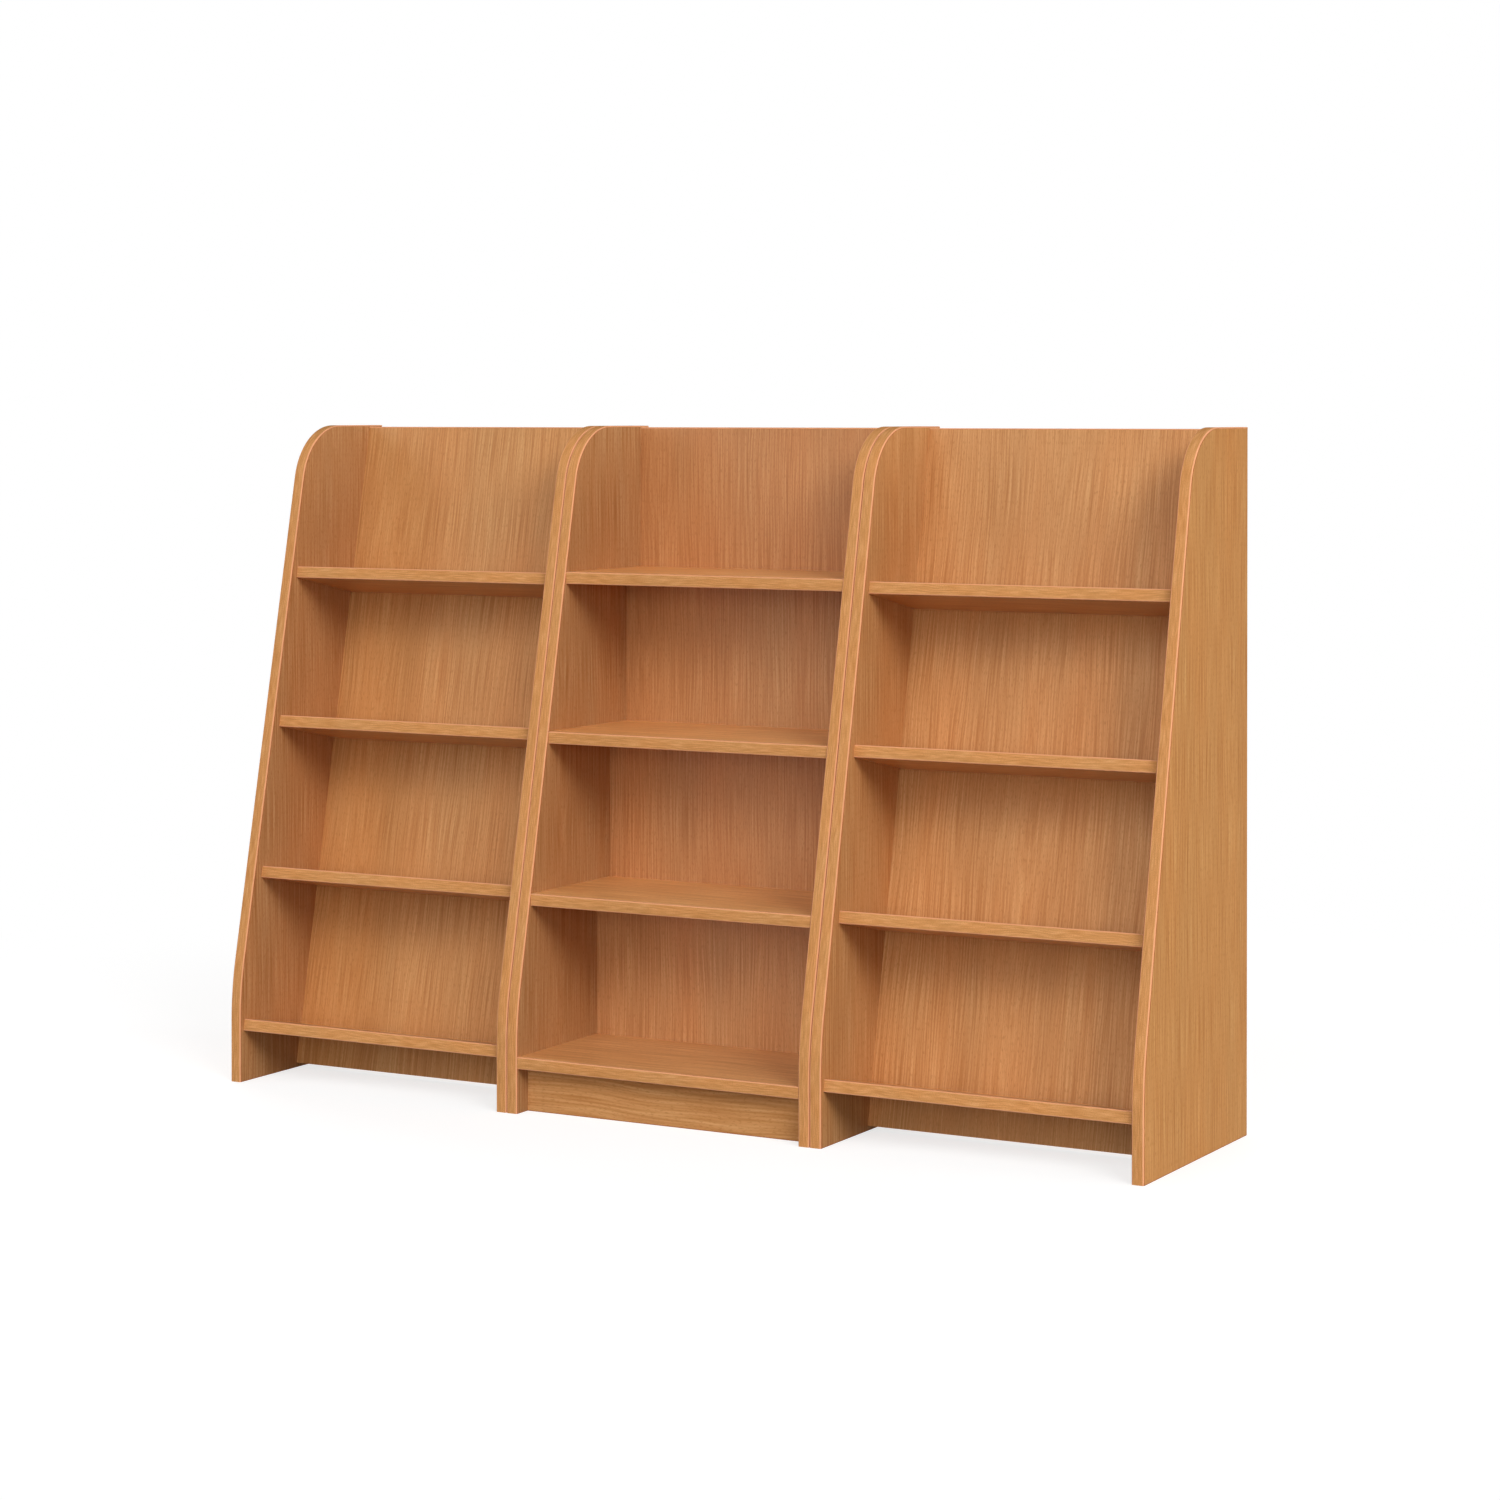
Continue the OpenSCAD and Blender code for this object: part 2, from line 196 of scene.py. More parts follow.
# %% [markdown]
# ### Arches
#
# Where the saw passed near the heart of the log, the growth rings come out as nested
# arches. A ring is met at the same depth along a hyperbola: depth = the root of
# (x squared + a squared), minus a small part of y, where x is the distance from the
# heart and a rounds the tip. Noise that is read at this depth instead of at x draws
# its lines along the arches. They lie faintly over the straight lines, and away from
# the heart they are gone, so no seam shows where one heart's field meets the next.
# Each heart reads the noise 1.7 m from the last, so no two are alike.

# %% A second place whose lines are arches
HEART_PITCH = 430.0
HEART_TIP = 22.0
HEART_REACH = (25.0, 120.0)
ARCH_SLOPE = 0.085
ARCH_STRENGTH = 0.26
HEART_APART = 1.7

pitch = HEART_PITCH * MM
leaf = add(beech_print, "Math", across, pitch, operation="DIVIDE")
number = add(beech_print, "Math", leaf, operation="FLOOR")
part = add(beech_print, "Math", leaf, operation="FRACT")
from_heart = add(beech_print, "Math", part, pitch, -pitch / 2, operation="MULTIPLY_ADD")
rounded = add(beech_print, "CombineXYZ", from_heart, HEART_TIP * MM)
depth = add(beech_print, "VectorMath", rounded, operation="LENGTH", output="Value")
depth = add(beech_print, "Math", along, -ARCH_SLOPE, depth, operation="MULTIPLY_ADD")
depth = add(beech_print, "Math", number, HEART_APART, depth, operation="MULTIPLY_ADD")
arched = add(beech_print, "CombineXYZ", depth, along)
distance = add(beech_print, "Math", from_heart, operation="ABSOLUTE")
near_heart = add(beech_print, "MapRange", inputs={"Value": distance,
    "From Min": HEART_REACH[1] * MM, "From Max": HEART_REACH[0] * MM,
    "To Max": ARCH_STRENGTH}, interpolation_type="SMOOTHSTEP")
arm_angle = round(math.degrees(math.atan(ARCH_SLOPE)), 1)
print("arches every", HEART_PITCH, "mm, their arms at", arm_angle, "degrees")

# %% [markdown]
# ### Lines and streaks
#
# Three layers make the tone. Broad ones are the slow difference between one part of
# the sheet and the next, streaks are groups of rings, and hair lines are the rings
# themselves. Each adds its share of lighter and darker to a middle of one half. The
# hair lines are drawn a little wider than the 1 mm of real beech, because finer ones
# would vanish between the pixels of a picture of the whole row.

# %% Tone and warmth
BROAD = {"cell": (60.0, 900.0), "share": 0.18, "detail": 1.0}
STREAK = {"cell": (8.0, 480.0), "share": 0.17, "detail": 1.0}
HAIR = {"cell": (2.2, 120.0), "share": 0.70, "detail": 0.5}
WARMTH_CELL = (85.0, 600.0)


def lines(cell, share, detail):
    """One layer of tone: straight lines with arches over them near a heart, from
    minus half its share to plus half."""
    straight = grain_layer(beech_print, swayed, cell, detail)
    bent = grain_layer(beech_print, arched, cell, detail)
    layer = add(beech_print, "Mix", inputs={0: near_heart, 2: straight, 3: bent})
    return add(beech_print, "Math", layer, share, -share / 2, operation="MULTIPLY_ADD")


TONE_LAYERS = (BROAD, STREAK, HAIR)
tone = 0.5
for layer in TONE_LAYERS:
    tone = add(beech_print, "Math", lines(**layer), tone, operation="ADD")
warmth = grain_layer(beech_print, swayed, WARMTH_CELL)
print("shares of broad, streak and hair in the tone:", [layer["share"] for layer in TONE_LAYERS])

# %% [markdown]
# ### Flecks
#
# The short dark dashes of beech are its rays, cut across. Scattered marks would need
# one shape each. The tops of a fine noise give as many as wanted, and it is stretched,
# so they lie along the grain.

# %% Flecks, and the outputs of the print
FLECK_CELL = (1.1, 8.0)
FLECK_RANGE = (0.59, 0.69)

rays = grain_layer(beech_print, swayed, FLECK_CELL, detail=1.0)
fleck = add(beech_print, "MapRange", inputs={"Value": rays,
    "From Min": FLECK_RANGE[0], "From Max": FLECK_RANGE[1]})
result = beech_print.nodes.new("NodeGroupOutput")
for name, value in (("Tone", tone), ("Warmth", warmth), ("Fleck", fleck)):
    beech_print.links.new(value, result.inputs[name])
print("nodes in the beech print:", len(beech_print.nodes))

# %% [markdown]
# ### From tone to colour
#
# Three inks give the sheet its tones: a ramp from the dark of the rings, over a middle
# one, to the light between them. Some of the sheet is a touch redder and some a touch
# yellower, and the flecks lie over it all as a thin brown.

# %% Colour of the print
FLECK_COLOUR = "#A06B3C"
FLECK_STRENGTH = 0.5
RAMP_STOPS = (0.25, 0.5, 0.75)
REDDER = (1.05, 0.96, 0.88)
YELLOWER = (0.95, 1.04, 1.12)
BOARD_INKS = ("#A87141", "#BA8452", "#C89764")


def print_colour(tree, place, inks, sway=1.0):
    """Colour of the print in three inks, dark to light, and the group it came from."""
    group = tree.nodes.new("ShaderNodeGroup")
    group.node_tree = beech_print
    group.inputs["Sway"].default_value = sway
    tree.links.new(place, group.inputs["Place"])
    ramp = add(tree, "ValToRGB", group.outputs["Tone"])
    stops = ramp.node.color_ramp.elements
    stops.new(RAMP_STOPS[1])
    for stop, position, ink in zip(stops, RAMP_STOPS, inks):
        stop.position, stop.color = position, linear(ink)
    hue = add(tree, "Mix", inputs={0: group.outputs["Warmth"], 4: YELLOWER, 5: REDDER},
        data_type="VECTOR", output=1)
    colour = add(tree, "VectorMath", ramp, hue, operation="MULTIPLY")
    share = add(tree, "Math", group.outputs["Fleck"], FLECK_STRENGTH, operation="MULTIPLY")
    colour = add(tree, "Mix", inputs={0: share, 6: colour, 7: linear(FLECK_COLOUR)},
        data_type="RGBA", output=2)
    return colour, group


inks_as_light = [[round(v, 2) for v in linear(ink)[:3]] for ink in BOARD_INKS]
print("inks of the board as linear light:", inks_as_light)

# %% [markdown]
# ## Melamine-faced chipboard
#
# One material per board, because no two boards of a real unit are sawn from the same
# place in the sheet. The face is the print under melamine, a hard clear resin. The
# sawn edges, where no strip was glued, show the core: pressed chips of pale and dark
# wood. A board's face and its edges are one mesh here, so the shader tells them apart
# by which way the surface looks: along the board's own through direction it is face,
# and where the cosine to that direction is under a half it is a sawn edge. The cut foot
# of a board is a dark line, the thickness of the sheet seen edge on and in shade. That
# shade is painted here, as a dark band on the face along the foot, called the foot shade.

# %% The sawn core and the painted foot shade
CORE_DARK = "#7E5630"
CORE_LIGHT = "#D1AB78"
CHIP_SIZE = 2.4
SAWN_BELOW = 0.5
# Painted shade: the colour of the dark line along a board's foot, its lower edge in shade.
FOOT_SHADE_COLOUR = "#A0633B"
FOOT_SHADE_HEIGHT = 1.1


def board_axes(across, along):
    """Turn from the object's directions to across, along and through the board."""
    across, along = Vector(across).normalized(), Vector(along).normalized()
    return Matrix((across, along, across.cross(along)))


def with_core(tree, colour, place, through):
    """Chips on the sawn edges, and the mask that is 1 there."""
    chips = add(tree, "TexVoronoi", inputs={"Vector": place, "Scale": 1 / (CHIP_SIZE * MM)},
        output="Color")
    core = add(tree, "Mix", inputs={0: chips, 6: linear(CORE_DARK), 7: linear(CORE_LIGHT)},
        data_type="RGBA", output=2)
    normal = add(tree, "NewGeometry", output="True Normal")
    facing = add(tree, "VectorMath", normal, through, operation="DOT_PRODUCT", output="Value")
    facing = add(tree, "Math", facing, operation="ABSOLUTE")
    sawn = add(tree, "Math", facing, SAWN_BELOW, operation="LESS_THAN")
    colour = add(tree, "Mix", inputs={0: sawn, 6: colour, 7: core}, data_type="RGBA", output=2)
    return colour, sawn


def with_foot_shade(tree, colour, coordinates, direction, height):
    """Painted shade: a dark line up to the foot shade's height above height, measured along
    direction.
    """
    level = add(tree, "VectorMath", coordinates, direction, operation="DOT_PRODUCT", output="Value")
    low = add(tree, "Math", level, height + FOOT_SHADE_HEIGHT * MM, operation="LESS_THAN")
    return add(tree, "Mix", inputs={0: low, 6: colour, 7: linear(FOOT_SHADE_COLOUR)},
        data_type="RGBA", output=2)


print("chips of", CHIP_SIZE, "mm in the core, and a hem", FOOT_SHADE_HEIGHT, "mm high")

# %% [markdown]
# ### Shine
#
# Melamine has an IOR of about 1.5, but how much of its shine is seen depends on the
# texture of the press plate. The upright boards have a pearl finish that scatters
# nearly all of it, so their reflection is turned down. The shelves are smoother and
# shine softly when they are seen at a low angle. Where the resin lies over a fleck it
# sinks a few hundredths of a millimetre, which breaks the shine up a little. The
# shelves and the plinth are also cut from sheets with broader lines than the rest.

# %% Board material
FINISHES = {
    "side": {"shine": 0.02, "rough": 0.46, "coarse": 1.0},
    "display back": {"shine": 0.22, "rough": 0.46, "coarse": 1.0},
    "bookcase back": {"shine": 0.46, "rough": 0.46, "coarse": 1.0},
    "shelf": {"shine": 0.50, "rough": 0.34, "coarse": 2.2},
    "plinth": {"shine": 0.02, "rough": 0.46, "coarse": 1.6},
}
TONE_SMOOTHS = -0.08
CORE_ROUGHENS = 0.4
FLECK_DEPTH = 0.03
FLECK_RELIEF = 0.25


def board_material(name, axes, centre, start, finish, tint, foot_shade=None):
    """Print, core and painted foot shade of one board. start is the place in the print where it
    begins, and tint multiplies its colour: how its sheet came out beside the middle one,
    or on a shelf painted light that brightens its top. foot_shade is a direction and a
    height along it, where a dark line of painted shade runs along the foot."""
    material, tree = new_material(name)
    shift = Vector((*start, 0)) - axes @ Vector(centre)
    coordinates = add(tree, "TexCoord", output="Object")
    place = add(tree, "Mapping", inputs={"Vector": coordinates, "Location": shift,
        "Rotation": axes.to_euler()})
    grain = add(tree, "VectorMath", place, (1 / finish["coarse"], 1, 1), operation="MULTIPLY")
    colour, group = print_colour(tree, grain, BOARD_INKS)
    colour = add(tree, "VectorMath", colour, tint, operation="MULTIPLY")
    colour, sawn = with_core(tree, colour, place, axes[2])
    # A dark band of painted shade along the foot of the board.
    if foot_shade:
        colour = with_foot_shade(tree, colour, coordinates, *foot_shade)
    rough = add(tree, "Math", group.outputs["Tone"], TONE_SMOOTHS, finish["rough"],
        operation="MULTIPLY_ADD")
    rough = add(tree, "Math", sawn, CORE_ROUGHENS, rough, operation="MULTIPLY_ADD")
    relief = add(tree, "Math", 1.0, group.outputs["Fleck"], operation="SUBTRACT")
    bump = add(tree, "Bump", inputs={"Height": relief, "Strength": FLECK_RELIEF,
        "Distance": FLECK_DEPTH * MM})
    shader = add(tree, "BsdfPrincipled", inputs={"Base Color": colour, "Roughness": rough,
        "Normal": bump, "Specular IOR Level": finish["shine"]})
    add(tree, "OutputMaterial", shader)
    return material


print("finishes of board:", ", ".join(FINISHES))

# %% [markdown]
# ## Dressing the boards
#
# On the sides and backs the grain runs upwards, and on the shelves and the plinth it
# runs along the row. The tilted boards lean back by 11.3 degrees, and their print
# leans with them. Where each board starts in the sheet is drawn from a seeded
# generator, so the row looks the same on every run.
#
# Boards also differ from sheet to sheet: the left side of the middle unit is the deepest,
# and the outer right side is a little yellower. Other inks for each board would change the
# contrast of its print too, so a board that stands out has a tint, which multiplies its
# colour. The shelves are made the palest, and their tint is painted light: it brightens
# the shelf tops to stand in for light from above that the lamps do not give.

# %% Tints of single boards, and painted light on the shelves
EVEN = (1.0, 1.0, 1.0)
# Painted light: the shelves' tint brightens their tops to stand in for light from above.
DISPLAY_SHELF_PAINTED_LIGHT = (1.28, 1.27, 1.26)
TINTS_AND_PAINTED_LIGHT = {
    "right_display_right_side": (1.03, 0.99, 0.83), "left_display_left_side": (0.91, 0.87, 0.90),
    "bookcase_left_side": (0.84, 0.83, 0.88), "bookcase_right_side": (1.01, 1.00, 1.00),
    "right_display_left_side": (1.01, 1.00, 1.00), "right_display_back": (1.06, 1.03, 1.00),
    "left_display_back": (1.05, 1.02, 0.95), "bookcase_plinth": (1.13, 1.12, 1.10),
    "bookcase_back_4": (0.92, 0.83, 0.80), "bookcase_back_3": (0.92, 0.90, 0.93),
    "bookcase_back_2": (0.94, 0.87, 0.89), "bookcase_back_1": (1.02, 0.98, 1.02),
    # Painted light on the bookcase shelves: paler tops standing in for light from above.
    "bookcase_shelf_4": (1.66, 1.62, 1.49), "bookcase_shelf_3": (1.67, 1.71, 1.62),
    "bookcase_shelf_2": (1.59, 1.65, 1.58), "bookcase_shelf_1": (1.49, 1.54, 1.56),
}
for k in SHELVES:
    for unit in DISPLAYS:
        TINTS_AND_PAINTED_LIGHT[f"{unit}_shelf_{k}"] = DISPLAY_SHELF_PAINTED_LIGHT
print("boards with a tint of their own:", len(TINTS_AND_PAINTED_LIGHT))

# %% Give every board its own piece of the print
RIGHT = (1, 0, 0)
BACK = (0, 1, 0)
UP = (0, 0, 1)
UP_SLOPE = (0, math.sin(BACK_LEAN), math.cos(BACK_LEAN))
INTO_SHELF = (0, math.cos(BACK_LEAN), -math.sin(BACK_LEAN))
SHEET = (1.2, 2.0)
chance = np.random.default_rng(11)


def dress(node, across, along, finish, foot_shade=None):
    """Puts a board material of its own on a CAD node."""
    low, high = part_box(node)
    start = chance.uniform((0, 0), SHEET)
    material = board_material("melamine_board_" + node, board_axes(across, along),
        (low + high) / 2, start, FINISHES[finish], TINTS_AND_PAINTED_LIGHT.get(node, EVEN), foot_shade)
    nodes[node].data.materials.clear()
    nodes[node].data.materials.append(material)


for unit in UNITS:
    for hand in ("left", "right"):
        dress(f"{unit}_{hand}_side", BACK, UP, "side", foot_shade=(UP, 0.0))
for unit in DISPLAYS:
    foot = Vector(UP_SLOPE).dot(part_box(f"{unit}_back")[0])
    dress(f"{unit}_back", RIGHT, UP_SLOPE, "display back", foot_shade=(UP_SLOPE, foot))
    for k in SHELVES:
        dress(f"{unit}_shelf_{k}", INTO_SHELF, RIGHT, "shelf")
for k in SHELVES:
    dress(f"bookcase_shelf_{k}", BACK, RIGHT, "shelf")
    dress(f"bookcase_back_{k}", RIGHT, UP, "bookcase back")
dress("bookcase_plinth", UP, RIGHT, "plinth", foot_shade=(UP, 0.0))
print("boards:", len([m for m in bpy.data.materials if m.name.startswith("melamine_board_")]))

# %% [markdown]
# ## Fasteners
#
# Zinc-plated steel screws, bolts and sleeve nuts show only from behind. Plating is a
# metal, so it keeps the default IOR. Its slightly uneven crystals could be bumps, but
# at this size only their shine is seen, so they are drawn as a faint change of
# roughness. The dowels are plain turned beech, hidden in the boards.

# %% Zinc plating
ZINC_GRAIN = 0.8
ZINC_DETAIL = 3.0
ZINC_COLOURS = ("#A9ADB2", "#C9CCCF")
ZINC_ROUGH = (0.20, 0.25)


def zinc_material():
    """Bright zinc plating: a mid-grey metal whose roughness wanders a little."""
    material, tree = new_material("zinc_plated_steel")
    place = add(tree, "TexCoord", output="Object")
    grain = add(tree, "TexNoise", inputs={"Vector": place, "Scale": 1 / (ZINC_GRAIN * MM),
        "Detail": ZINC_DETAIL})
    rough = add(tree, "Math", grain, ZINC_ROUGH[1], ZINC_ROUGH[0], operation="MULTIPLY_ADD")
    dark, light = [linear(colour) for colour in ZINC_COLOURS]
    colour = add(tree, "Mix", inputs={0: grain, 6: dark, 7: light}, data_type="RGBA", output=2)
    shader = add(tree, "BsdfPrincipled", inputs={"Base Color": colour, "Roughness": rough,
        "Metallic": 1.0})
    add(tree, "OutputMaterial", shader)
    return material


zinc = zinc_material()
print("nodes in the zinc plating:", len(zinc.node_tree.nodes))

# %% Dowel wood, and who wears what
DOWEL_STREAK = (0.8, 20.0)
DOWEL_COLOURS = ("#BE9463", "#E3C298")
DOWEL_ROUGH = 0.7


def dowel_material():
    """Unfinished turned beech: pale, dull and finely streaked along the dowel, which
    lies along X, so the pattern is turned by a quarter."""
    material, tree = new_material("turned_beech")
    place = add(tree, "TexCoord", output="Object")
    turned = add(tree, "Mapping", inputs={"Vector": place, "Rotation": (0, 0, math.pi / 2)})
    streak = grain_layer(tree, turned, DOWEL_STREAK)
    dark, light = [linear(colour) for colour in DOWEL_COLOURS]
    colour = add(tree, "Mix", inputs={0: streak, 6: dark, 7: light}, data_type="RGBA", output=2)
    shader = add(tree, "BsdfPrincipled", inputs={"Base Color": colour, "Roughness": DOWEL_ROUGH})
    add(tree, "OutputMaterial", shader)
    return material


turned_beech = dowel_material()
fasteners = [name for name in nodes if "dowels" in name or "screws" in name or "joining" in name]
for name in fasteners:
    nodes[name].data.materials.clear()
    nodes[name].data.materials.append(turned_beech if name.endswith("dowels") else zinc)
print("nodes of fasteners:", len(fasteners))

# %% [markdown]
# ## Plastic edging
#
# The strip is 2 mm of ABS, coloured right through and printed with beech on its face.
# After it is glued on, a cutter rounds both long corners, and there the print is gone
# and the plain, pinker plastic shows as a thin bright line. That line outlines every
# edge in the photograph, so it matters more than anything else on the strip. At the
# foot of the strip the reddish glue shows, as a fine dark line where two sides meet.
#
# The strip's print has to follow it round the crown of a side, which Object
# coordinates cannot do. So the strip's mesh carries its own UV map in metres: U along
# the strip and V across it, measured over the rounded corners from the middle. The
# print on a strip comes from a narrow roller of its own. Its lines are finer and
# shorter than a board's. The strip is matt. Any shine would mirror the white
# surroundings where it is seen nearly edge on, along the top of the row, and there the
# photograph shows none.

# %% Edging material
EDGE_INKS = ("#BC814B", "#CB8F57", "#D99E67")
PLAIN_PLASTIC = "#DC9D72"
EDGE_SQUEEZE = (5.0, 1.3, 1.0)
EDGE_SWAY = 0.5
GLUE_COLOUR = "#994422"
PRINTED_HALF = BOARD_T / 2 - STRIP_R
PLAIN_HALF = PRINTED_HALF + STRIP_R * math.pi / 2
PRINT_FADE = 0.3
PLAIN_SMOOTHS = -0.08
EDGE_ROUGH = 0.44
EDGE_SHINE = 0.0
EDGE_RELIEF = 0.2


def edging_material():
    """Printed plastic with its plain body showing on the rounded corners."""
    material, tree = new_material("printed_edging")
    strip_place = add(tree, "UVMap", uv_map="strip")
    place = add(tree, "Mapping", inputs={"Vector": strip_place, "Rotation": (0, 0, math.pi / 2),
        "Scale": EDGE_SQUEEZE})
    colour, group = print_colour(tree, place, EDGE_INKS, EDGE_SWAY)
    v = add(tree, "Math", add(tree, "SeparateXYZ", strip_place, output=1), operation="ABSOLUTE")
    plain = add(tree, "MapRange", inputs={"Value": v,
        "From Min": PRINTED_HALF, "From Max": PRINTED_HALF + PRINT_FADE * MM})
    glued = add(tree, "Math", v, PLAIN_HALF, operation="GREATER_THAN")
    body = add(tree, "Mix", inputs={0: glued, 6: linear(PLAIN_PLASTIC), 7: linear(GLUE_COLOUR)},
        data_type="RGBA", output=2)
    colour = add(tree, "Mix", inputs={0: plain, 6: colour, 7: body}, data_type="RGBA", output=2)
    rough = add(tree, "Math", plain, PLAIN_SMOOTHS, EDGE_ROUGH, operation="MULTIPLY_ADD")
    relief = add(tree, "Math", 1.0, group.outputs["Fleck"], operation="SUBTRACT")
    bump = add(tree, "Bump", inputs={"Height": relief, "Strength": EDGE_RELIEF,
        "Distance": FLECK_DEPTH * MM})
    shader = add(tree, "BsdfPrincipled", inputs={"Base Color": colour, "Roughness": rough,
        "Normal": bump, "Specular IOR Level": EDGE_SHINE})
    add(tree, "OutputMaterial", shader)
    return material


printed_edging = edging_material()
print("print on a strip:", round(2 * PRINTED_HALF / MM, 1), "mm wide, between two plain corners")

# %% [markdown]
# ## The strip as a swept section
#
# A strip could be a box with a Bevel modifier, but round a crown it would need to be
# bent and its UVs would stretch. Here it is a section carried along a path: the
# section is a few points around a rectangle with two rounded corners, and the path
# gives at each step a point on the board's sawn edge and the direction out of it.
# Every vertex is one sum of those, so the whole strip is a single numpy expression.

# %% The section
ROUND_STEPS = 6


def strip_section(inset):
    """Points round the section, as out from the board and across it: up one side, a
    quarter circle (r sin t, r - r cos t) onto the face, and the same mirrored. Also
    the developed width at each point, measured from the middle of the face. The foot
    is as wide as the board, and inset is how far the scraper has cut in above it at
    each side, so the flanks slope. The width is stretched by as much, so that the
    print ends where the round begins all the same."""
    t = np.linspace(0, math.pi / 2, ROUND_STEPS + 1)
    out = STRIP_T - STRIP_R + STRIP_R * np.sin(t)
    across = inset - BOARD_T / 2 + STRIP_R - STRIP_R * np.cos(t)
    out = np.concatenate(([0], out, out[::-1], [0]))
    across = np.concatenate(([-BOARD_T / 2], across, -across[::-1], [BOARD_T / 2]))
    walked = np.concatenate(([0], np.cumsum(np.hypot(np.diff(out), np.diff(across)))))
    width = walked - walked[-1] / 2
    return out, across, width + inset * np.sign(width)


print("points in the section:", len(strip_section(0.0)[0]))

# %% The sweep
SHARP = math.radians(35)


def sweep_strip(name, path, outward, across, start, inset):
    """Carries the section along the path: point + out * outward + across * sideways.
    The ends are closed by one face each, and start is where the print begins."""
    out, side, width = strip_section(inset)
    path, outward = np.asarray(path, float), np.asarray(outward, float)
    co = (path[:, None, :] + out[None, :, None] * outward[:, None, :]
        + side[None, :, None] * np.asarray(across, float)[None, None, :])
    rows, columns = co.shape[:2]
    index = np.arange(rows * columns).reshape(rows, columns)
    following = np.roll(index, -1, axis=1)
    quads = np.stack([index[:-1], following[:-1], following[1:], index[1:]], axis=-1).reshape(-1, 4)
    ends = [index[0, ::-1].tolist(), index[-1].tolist()]
    mesh = bpy.data.meshes.new(name)
    mesh.from_pydata(co.reshape(-1, 3).tolist(), [], quads.tolist() + ends)
    steps = np.linalg.norm(np.diff(path + STRIP_T * outward, axis=0), axis=1)
    length = np.concatenate(([0], np.cumsum(steps)))
    corner = np.zeros(len(mesh.loops), np.int32)
    mesh.loops.foreach_get("vertex_index", corner)
    uv = np.stack([length[corner // columns] + start, width[corner % columns]], axis=-1)
    mesh.uv_layers.new(name="strip").data.foreach_set("uv", uv.astype(np.float32).ravel())
    mesh.shade_smooth()
    mesh.set_sharp_from_angle(angle=SHARP)
    mesh.materials.append(printed_edging)
    piece = bpy.data.objects.new(name, mesh)
    bpy.context.scene.collection.objects.link(piece)
    return piece


print("folds over", round(math.degrees(SHARP)), "degrees stay sharp, the rest is shaded smooth")

# %% [markdown]
# ## A strip takes the place of its plain solid
#
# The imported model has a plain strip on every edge, and the printed one replaces it. It
# has to end where the plain one ends, so the largest distance between the corners of
# the two boxes is measured for each strip and printed.

# %% Fit a strip to the model
def fit_strip(node, path, outward, across, inset=0.0):
    """Makes the strip that stands for a CAD edging node and says how well it fits."""
    start = chance.uniform(0, SHEET[1])
    piece = sweep_strip(node + "_printed", path, outward, across, start, inset)
    co = np.array([v.co for v in piece.data.vertices])
    low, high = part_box(node)
    miss = max(np.abs(co.min(0) - low).max(), np.abs(co.max(0) - high).max())
    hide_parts(node)
    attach(piece, "root")
    return miss / MM


print("plain strips in the packed model:", len([name for name in nodes if "edging" in name]))

# %% [markdown]
# ## Strips round the sides
#
# A side's outline goes upright from the floor, bends into the slope through a long
# curve, turns over the crown and runs back along the top. Each bend is an arc that
# touches the straights on both sides, so its centre follows from the corner it
# rounds. The path runs where the board ends, 2 mm inside the finished outline.
#
# Where two units meet, the photograph shows a dark line between their strips. Strips
# are scraped back a hair inside the board's faces, which leaves a narrow slot there,
# and at its foot shows the red-brown glue. A line painted on would do from the front,
# but a real slot also takes the shade from every other side.

# %% The outline of a side
TOE_STEPS = 16
CROWN_STEPS = 40
SCRAPED = 0.4 * MM


def arc(centre, radius, first, last, steps):
    """Points centre + radius * (cos a, sin a) and their outward directions, with a from
    first to last."""
    a = np.linspace(first, last, steps + 1)
    outward = np.stack([np.cos(a), np.sin(a)], axis=-1)
    return np.asarray(centre) + radius * outward, outward


def side_outline(front, depth, height):
    """Path of a side's strip in Y and Z, and the direction out of the board."""
    toe_reach = TOE_R * math.tan(FRONT_LEAN / 2)
    crown_reach = CROWN_R * math.tan((math.pi / 2 - FRONT_LEAN) / 2)
    crown_corner = (height - TOE_H) * math.tan(FRONT_LEAN)
    slope = math.pi - FRONT_LEAN
    toe, toe_out = arc((TOE_R, TOE_H - toe_reach), TOE_R - STRIP_T, math.pi, slope, TOE_STEPS)
    crown, crown_out = arc((crown_corner + crown_reach, height - CROWN_R), CROWN_R - STRIP_T,
        slope, math.pi / 2, CROWN_STEPS)
    points = np.vstack([[(STRIP_T, 0)], toe, crown, [(depth, height - STRIP_T)]])
    outward = np.vstack([[(-1, 0)], toe_out, crown_out, [(0, 1)]])
    return points + (front, 0), outward


(_, front, _), (_, rear, top) = packed_box
points, _ = side_outline(front, rear - front, top)
strip_length = float(np.linalg.norm(np.diff(points, axis=0), axis=1).sum())
print("the strip round a side is", round(strip_length, 3), "m long, in", len(points) - 1, "steps")

# %% Strips on the front, the top and the rear of the sides
def in_plane(points, x):
    """Turns Y and Z pairs into points with the same X."""
    return np.column_stack([np.full(len(points), x), points])


misses = []
for unit in UNITS:
    for hand in ("left", "right"):
        low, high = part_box(f"{unit}_{hand}_edging")
        x = (low.x + high.x) / 2
        points, outward = side_outline(low.y, high.y - low.y, high.z)
        path = in_plane(points, x)
        outward = in_plane(outward, 0)
        misses.append(fit_strip(f"{unit}_{hand}_edging", path, outward, RIGHT, SCRAPED))
        rear = f"{unit}_{hand}_rear_edging"
        low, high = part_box(rear)
        path = [(x, low.y, low.z), (x, low.y, high.z)]
        misses.append(fit_strip(rear, path, [BACK, BACK], (-1, 0, 0), SCRAPED))
print("side strips:", len(misses), "largest miss in mm:", round(max(misses), 3))

